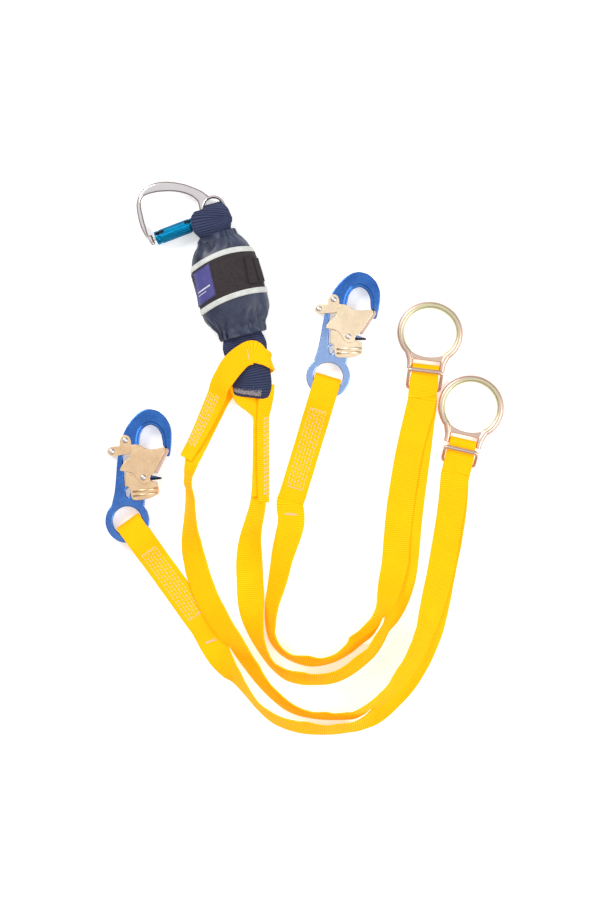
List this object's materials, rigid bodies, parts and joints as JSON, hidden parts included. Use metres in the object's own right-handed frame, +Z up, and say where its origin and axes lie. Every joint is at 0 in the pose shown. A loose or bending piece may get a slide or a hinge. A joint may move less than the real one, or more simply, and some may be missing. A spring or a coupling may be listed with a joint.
{
  "type": "shock absorbing lanyard",
  "caption": "Twin leg shock absorbing lanyard with absorber pack, twist lock carabiner, snap hooks and tie back rings on yellow webbing legs.",
  "frame": {"origin": "the middle of the absorber cover's flat underside, on the plane the lanyard lies on", "axes": "+Z up out of the plane it lies on; +Y from the legs' bends towards the carabiner; +X towards the tie back rings"},
  "size_m": [0.4258, 0.5922, 0.0441],
  "materials": {
    "yellow_web": "woven polyester, cross ribbed",
    "navy_web": "woven polyester, cross ribbed",
    "navy_fabric": "coated woven cover",
    "grey_stripe": "reflective tape",
    "black_fabric": "hook and loop pile",
    "label": "blank printed label",
    "white_web": "woven tear webbing",
    "rubber": "elastic cord",
    "blue_anodised": "anodised forging",
    "gold_zinc": "yellow zinc plated pressing",
    "steel": "plated",
    "ring_steel": "plated forging",
    "silver": "polished",
    "cyan_anodised": "anodised"
  },
  "bodies": {
    "harness": {"pack_cover": "navy_fabric", "upper_stripe": "grey_stripe", "lower_stripe": "grey_stripe", "label_patch": "label", "hook_and_loop_band": "black_fabric", "upper_cuff_elastic": "rubber", "lower_cuff_elastic": "rubber", "absorber_tear_web": "white_web", "pack_upper_loop": "navy_web", "pack_lower_loop": "navy_web", "left_leg_hook_web": "yellow_web", "left_leg_pack_web": "yellow_web", "right_leg_hook_web": "yellow_web", "right_leg_pack_web": "yellow_web", "left_leg_eye_web": "yellow_web", "right_leg_eye_web": "yellow_web"},
    "closure_flap": {"closure_flap": "black_fabric"},
    "carabiner": {"carabiner_body": "silver", "carabiner_gate_pin": "steel"},
    "carabiner_gate": {"carabiner_gate": "silver", "carabiner_gate_spring": "steel"},
    "carabiner_sleeve": {"carabiner_lock_sleeve": "cyan_anodised"},
    "left_hook": {"left_hook_body": "blue_anodised", "left_hook_gate_rivet": "steel", "left_hook_lock_rivet": "steel", "left_hook_gate_spring": "steel"},
    "left_hook_gate": {"left_hook_gate": "gold_zinc"},
    "left_hook_lock": {"left_hook_lock": "gold_zinc", "left_hook_ear_rivet": "steel"},
    "left_hook_lever": {"left_hook_lever": "gold_zinc"},
    "left_ring": {"left_ring": "ring_steel"},
    "left_keeper": {"left_keeper_loop": "ring_steel"},
    "right_hook": {"right_hook_body": "blue_anodised", "right_hook_gate_rivet": "steel", "right_hook_lock_rivet": "steel", "right_hook_gate_spring": "steel"},
    "right_hook_gate": {"right_hook_gate": "gold_zinc"},
    "right_hook_lock": {"right_hook_lock": "gold_zinc", "right_hook_ear_rivet": "steel"},
    "right_hook_lever": {"right_hook_lever": "gold_zinc"},
    "right_ring": {"right_ring": "ring_steel"},
    "right_keeper": {"right_keeper_loop": "ring_steel"}
  },
  "joints": [
    {"name": "closure_flap_lift", "type": "hinge", "parent": "harness", "child": "closure_flap", "pos_m": [0.0279, 0.0075, 0.0357], "axis": [0.2588, -0.9659, 0], "range_deg": [0, 90]},
    {"name": "carabiner_swivel", "type": "hinge", "parent": "harness", "child": "carabiner", "pos_m": [-0.0163, 0.0797, 0.011], "axis": [0, 0, 1], "range_deg": [-10, 10]},
    {"name": "carabiner_gate_hinge", "type": "hinge", "parent": "carabiner", "child": "carabiner_gate", "pos_m": [-0.0274, 0.0658, 0.011], "axis": [0, 0, 1], "range_deg": [-25, 0], "stiffness_Nm_per_rad": 0.08, "springref_deg": 14.32},
    {"name": "carabiner_sleeve_twist", "type": "hinge", "parent": "carabiner_gate", "child": "carabiner_sleeve", "pos_m": [-0.0274, 0.0658, 0.011], "axis": [-0.9336, -0.3584, 0], "range_deg": [0, 90], "stiffness_Nm_per_rad": 0.02, "springref_deg": -11.46},
    {"name": "left_hook_swivel", "type": "hinge", "parent": "harness", "child": "left_hook", "pos_m": [-0.1081, -0.2547, 0.0106], "axis": [0, 0, 1], "range_deg": [-4, 15]},
    {"name": "left_gate_hinge", "type": "hinge", "parent": "left_hook", "child": "left_hook_gate", "pos_m": [-0.0908, -0.2082, 0.0106], "axis": [0, 0, 1], "range_deg": [0, 30], "stiffness_Nm_per_rad": 0.1, "springref_deg": -14.32},
    {"name": "left_lock_hinge", "type": "hinge", "parent": "left_hook", "child": "left_hook_lock", "pos_m": [-0.1102, -0.1686, 0.0106], "axis": [0, 0, 1], "range_deg": [0, 8], "stiffness_Nm_per_rad": 0.05, "springref_deg": -11.46},
    {"name": "left_lever_hinge", "type": "hinge", "parent": "left_hook", "child": "left_hook_lever", "pos_m": [-0.0908, -0.2082, 0.0106], "axis": [0, 0, 1], "range_deg": [-8, 0], "stiffness_Nm_per_rad": 0.05, "springref_deg": 11.46},
    {"name": "left_ring_flip", "type": "hinge", "parent": "harness", "child": "left_ring", "pos_m": [0.2498, -0.172, 0.0056], "axis": [0.9744, -0.225, 0], "range_deg": [0, 45]},
    {"name": "left_keeper_tilt", "type": "hinge", "parent": "harness", "child": "left_keeper", "pos_m": [0.245, -0.1931, 0.0017], "axis": [0.9744, -0.225, 0], "range_deg": [0, 35]},
    {"name": "right_hook_swivel", "type": "hinge", "parent": "harness", "child": "right_hook", "pos_m": [0.1059, -0.1027, 0.0106], "axis": [0, 0, 1], "range_deg": [-15, 15]},
    {"name": "right_gate_hinge", "type": "hinge", "parent": "right_hook", "child": "right_hook_gate", "pos_m": [0.1276, -0.0581, 0.0106], "axis": [0, 0, 1], "range_deg": [0, 30], "stiffness_Nm_per_rad": 0.1, "springref_deg": -14.32},
    {"name": "right_lock_hinge", "type": "hinge", "parent": "right_hook", "child": "right_hook_lock", "pos_m": [0.1121, -0.0168, 0.0106], "axis": [0, 0, 1], "range_deg": [0, 8], "stiffness_Nm_per_rad": 0.05, "springref_deg": -11.46},
    {"name": "right_lever_hinge", "type": "hinge", "parent": "right_hook", "child": "right_hook_lever", "pos_m": [0.1276, -0.0581, 0.0106], "axis": [0, 0, 1], "range_deg": [-8, 0], "stiffness_Nm_per_rad": 0.05, "springref_deg": 11.46},
    {"name": "right_ring_flip", "type": "hinge", "parent": "harness", "child": "right_ring", "pos_m": [0.2102, -0.0924, 0.0056], "axis": [0.9925, -0.1219, 0], "range_deg": [0, 45]},
    {"name": "right_keeper_tilt", "type": "hinge", "parent": "harness", "child": "right_keeper", "pos_m": [0.2075, -0.1139, 0.0017], "axis": [0.9925, -0.1219, 0], "range_deg": [0, 35]}
  ]
}
